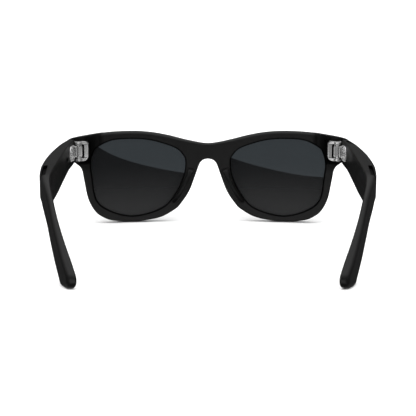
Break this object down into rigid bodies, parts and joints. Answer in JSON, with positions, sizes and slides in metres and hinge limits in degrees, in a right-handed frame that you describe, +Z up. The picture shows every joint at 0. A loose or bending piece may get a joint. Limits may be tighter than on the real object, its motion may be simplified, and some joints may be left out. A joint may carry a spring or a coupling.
{
  "type": "smart glasses",
  "caption": "Folding glasses with dark lenses, a camera and light in the end pieces, speakers in the temples, metal hinges, a capture button and a power switch.",
  "frame": {"origin": "middle of the whole open object's box, at the height of the surface that it stands on", "axes": "+X the wearer's right, +Y the way the wearer looks, +Z up"},
  "size_m": [0.1536, 0.1476, 0.0482],
  "materials": {
    "frame_nylon": "satin black moulded nylon, fine grain",
    "nose_pad": "satin black",
    "lens": "dark polished lens",
    "window_black": "gloss black window",
    "hinge_steel": "satin steel",
    "pin_steel": "bright steel",
    "core_wire": "plain steel",
    "board": "green solder mask",
    "flex": "amber film",
    "can_metal": "bare metal can",
    "contact_gold": "gold plated",
    "light_pipe": "smoked clear",
    "barrel_black": "black anodised",
    "chip_black": "black epoxy",
    "cell_wrap": "foil pouch",
    "speaker_black": "black moulded box",
    "gasket_foam": "black foam",
    "slot_mesh": "fine black mesh",
    "control_black": "satin black"
  },
  "bodies": {
    "front": {"front_frame": "frame_nylon", "left_lens": "lens", "right_lens": "lens", "left_nose_pad": "nose_pad", "right_nose_pad": "nose_pad", "camera_window": "window_black", "camera_barrel": "barrel_black", "camera_board": "board", "capture_led_window": "window_black", "capture_led_board": "board", "front_flex": "flex", "bridge_microphone": "can_metal", "charging_contacts": "contact_gold", "notification_light_pipe": "light_pipe", "left_hinge_bracket": "hinge_steel", "right_hinge_bracket": "hinge_steel", "left_hinge_pin": "pin_steel", "right_hinge_pin": "pin_steel"},
    "left_temple": {"left_temple_shell": "frame_nylon", "left_temple_cover": "frame_nylon", "left_temple_core": "core_wire", "left_hinge_knuckle": "hinge_steel", "left_hinge_knuckle_screw": "pin_steel", "left_speaker": "speaker_black", "left_speaker_gasket": "gasket_foam", "left_top_speaker_mesh": "slot_mesh", "left_bottom_speaker_mesh": "slot_mesh", "left_microphone": "can_metal", "left_flex": "flex", "battery": "cell_wrap", "battery_board": "board", "power_switch_housing": "control_black"},
    "right_temple": {"right_temple_shell": "frame_nylon", "right_temple_cover": "frame_nylon", "right_temple_core": "core_wire", "right_hinge_knuckle": "hinge_steel", "right_hinge_knuckle_screw": "pin_steel", "right_speaker": "speaker_black", "right_speaker_gasket": "gasket_foam", "right_top_speaker_mesh": "slot_mesh", "right_bottom_speaker_mesh": "slot_mesh", "right_microphone": "can_metal", "right_flex": "flex", "main_board": "board", "processor_shield": "can_metal", "memory_chip": "chip_black", "touchpad_sensor": "flex", "antenna_flex": "flex", "capture_button_switch": "can_metal"},
    "power_switch": {"power_switch_slider": "control_black"},
    "shutter_button": {"capture_button": "control_black"}
  },
  "joints": [
    {"name": "left_temple_fold", "type": "hinge", "parent": "front", "child": "left_temple", "pos_m": [-0.0664, 0.05433, 0.0393], "axis": [0, 0, 1], "range_deg": [0, 86]},
    {"name": "right_temple_fold", "type": "hinge", "parent": "front", "child": "right_temple", "pos_m": [0.0664, 0.05433, 0.0393], "axis": [0, 0, -1], "range_deg": [0, 77]},
    {"name": "power_switch_slide", "type": "slide", "parent": "left_temple", "child": "power_switch", "axis": [0, -1, 0], "range_m": [0, 0.0016]},
    {"name": "capture_button_press", "type": "slide", "parent": "right_temple", "child": "shutter_button", "axis": [0, 0, -1], "range_m": [0, 0.0004], "stiffness_N_per_m": 600, "springref_m": -0.0004}
  ]
}
